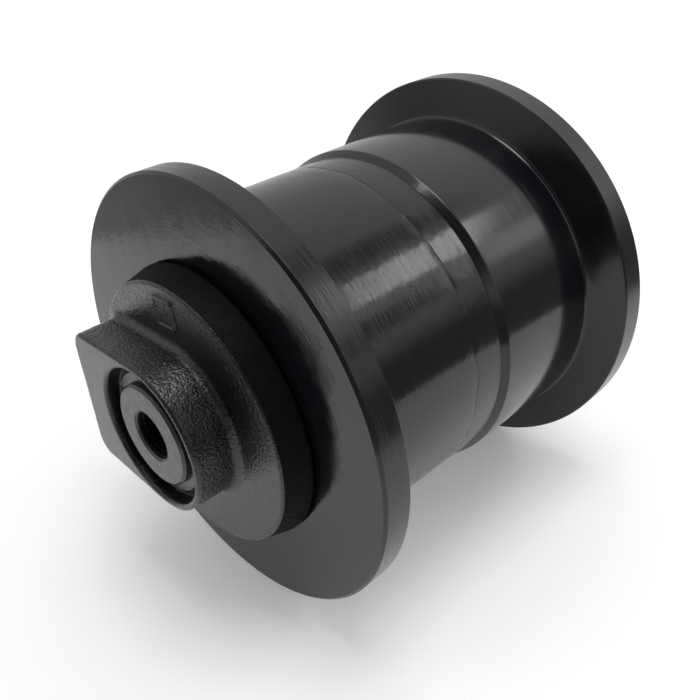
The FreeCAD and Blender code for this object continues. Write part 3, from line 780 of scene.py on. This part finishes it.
def dress_inner_pieces():
    """Materials for the nodes kept from the CAD, and the threads in the shaft's holes."""
    steel = worn_steel("shaft_steel", (0.022, 0.022, 0.022), (0.052, 0.052, 0.050))
    dress("shaft", steel)
    # the threads take this dull black instead of the shaft's steel: painted shade down in the tapped holes
    thread_shade = side_paint("thread_painted_shade")
    plug = plain_metal("plug_steel", (0.30, 0.30, 0.31), 0.40, 900.0)
    dress("oil_plug", plug)
    spring = worn_steel("spring_steel", (0.022, 0.022, 0.022), (0.045, 0.045, 0.044))
    seal = plain_metal("seal_steel", (0.55, 0.55, 0.56), 0.22, 2000.0)
    bronze = plain_metal("bush_bronze", (0.60, 0.42, 0.20), 0.32, 1500.0)
    rubber = black_rubber("rubber")
    for end in ("front", "rear"):
        make_thread(end, thread_shade)
        dress(end + "_retaining_ring", spring)
        dress(end + "_bush", bronze)
        dress(end + "_shaft_o_ring", rubber)
        for side in ("rotating", "fixed"):
            dress(end + "_" + side + "_seal_ring", seal)
            dress(end + "_" + side + "_toric", rubber)


# ---- the studio ----

def direction(azimuth, elevation):
    """A unit vector. Azimuth is from +Y towards +X, in degrees, before the studio is turned."""
    flat = math.cos(math.radians(elevation))
    towards = Vector((flat * math.sin(math.radians(azimuth)), flat * math.cos(math.radians(azimuth)),
                      math.sin(math.radians(elevation))))
    return STUDIO_TURN @ towards


def make_floor():
    """A round pale sweep. It ends near the roller, so that the paint mirrors a dark band beyond it."""
    material, tree, shader = new_material("pale_floor")
    plain = stretched(tree, 1.0, 1.0)
    tint = blend_colour(tree, noise_value(tree, plain, 5.0), (0.88, 0.88, 0.88), (0.92, 0.92, 0.92))
    tree.links.new(tint, shader.inputs["Base Color"])
    shader.inputs["Roughness"].default_value = 0.8
    shader.inputs["Emission Color"].default_value = (1.0, 1.0, 1.0, 1.0)
    shader.inputs["Emission Strength"].default_value = FLOOR_GLOW
    sides = 128
    rim = [(FLOOR_SIZE * math.cos(TAU * side / sides), FLOOR_SIZE * math.sin(TAU * side / sides), FLOOR_LEVEL)
           for side in range(sides)]
    mesh = bpy.data.meshes.new("floor")
    mesh.from_pydata(rim, [], [tuple(range(sides))])
    mesh.materials.append(material)
    floor = bpy.data.objects.new("floor", mesh)
    bpy.context.scene.collection.objects.link(floor)


def make_light(name, azimuth, elevation, width, height, radiance, roll):
    """A soft box that faces the roller. Width and height are in metres, at LIGHT_DISTANCE."""
    data = bpy.data.lights.new(name, "AREA")
    data.shape = "RECTANGLE"
    data.size = width
    data.size_y = height
    data.energy = radiance * math.pi * width * height
    light = bpy.data.objects.new(name, data)
    towards = direction(azimuth, elevation)
    light.location = towards * LIGHT_DISTANCE
    light.rotation_euler = towards.to_track_quat("Z", "Y").to_euler()
    light.rotation_euler.rotate_axis("Z", math.radians(roll))
    bpy.context.scene.collection.objects.link(light)


def make_world():
    """A pale room: white above, dim below the horizon, with a few soft dark and bright places."""
    world = bpy.data.worlds.new("studio")
    bpy.context.scene.world = world
    world.use_nodes = True
    tree = world.node_tree
    background = tree.nodes["Background"]
    place = add_node(tree, "ShaderNodeTexCoord").outputs["Generated"]
    height = add_node(tree, "ShaderNodeSeparateXYZ", Vector=place).outputs["Z"]
    low, high = (math.sin(math.radians(angle)) for angle in HORIZON_BAND)
    level = smooth_step(tree, height, low, high, HORIZON_LEVEL, SKY_LEVEL)
    for azimuth, elevation, inner, outer, brightness in ROOM_PATCHES:
        towards = add_node(tree, "ShaderNodeVectorMath", operation="DOT_PRODUCT")
        tree.links.new(place, towards.inputs[0])
        towards.inputs[1].default_value = direction(azimuth, elevation)
        share = smooth_step(tree, towards.outputs["Value"], math.cos(math.radians(outer)),
                            math.cos(math.radians(inner)), 0.0, 1.0)
        mix = tree.nodes.new("ShaderNodeMix")
        tree.links.new(share, mix.inputs["Factor"])
        tree.links.new(level, mix.inputs["A"])
        mix.inputs["B"].default_value = brightness
        level = mix.outputs["Result"]
    tinted = add_node(tree, "ShaderNodeVectorMath", operation="SCALE")
    tinted.inputs[0].default_value = ROOM_TINT
    tree.links.new(level, tinted.inputs["Scale"])
    seen = add_node(tree, "ShaderNodeLightPath").outputs["Is Camera Ray"]
    backdrop = tree.nodes.new("ShaderNodeMix")
    backdrop.data_type = "VECTOR"
    tree.links.new(seen, backdrop.inputs["Factor"])
    tree.links.new(tinted.outputs["Vector"], backdrop.inputs["A"])
    backdrop.inputs["B"].default_value = (BACKDROP_LEVEL,) * 3
    tree.links.new(backdrop.outputs["Result"], background.inputs["Color"])


def make_camera():
    """The upright view: the camera looks down on the front end from the right."""
    data = bpy.data.cameras.new("camera")
    data.sensor_width = 36.0
    data.lens = CAMERA_LENS
    data.clip_start = 0.01
    camera = bpy.data.objects.new("camera", data)
    aim = Euler((math.radians(90 - CAMERA_TILT), 0.0, math.radians(CAMERA_AZIMUTH))).to_matrix()
    camera.location = STUDIO_TURN @ CAMERA_PLACE
    camera.rotation_euler = (STUDIO_TURN @ aim).to_euler()
    bpy.context.scene.collection.objects.link(camera)
    bpy.context.scene.camera = camera


bpy.context.scene.view_settings.view_transform = "Standard"
make_camera()
make_world()
make_light("main_soft_box", 31.5, 41.0, width=0.38, height=0.32, radiance=4.4, roll=41.0)
make_light("overhead_soft_box", 0.0, 88.0, width=0.7, height=0.7, radiance=6.0, roll=0.0)
make_floor()
make_shell()
collar_paint = cast_paint("collar_paint")
collar_side_paint = side_paint("collar_side_paint")
make_collar("front", collar_paint, collar_side_paint)
make_collar("rear", collar_paint, collar_side_paint)
make_pad("front", collar_paint)
make_pad("rear", collar_paint)
dress_inner_pieces()
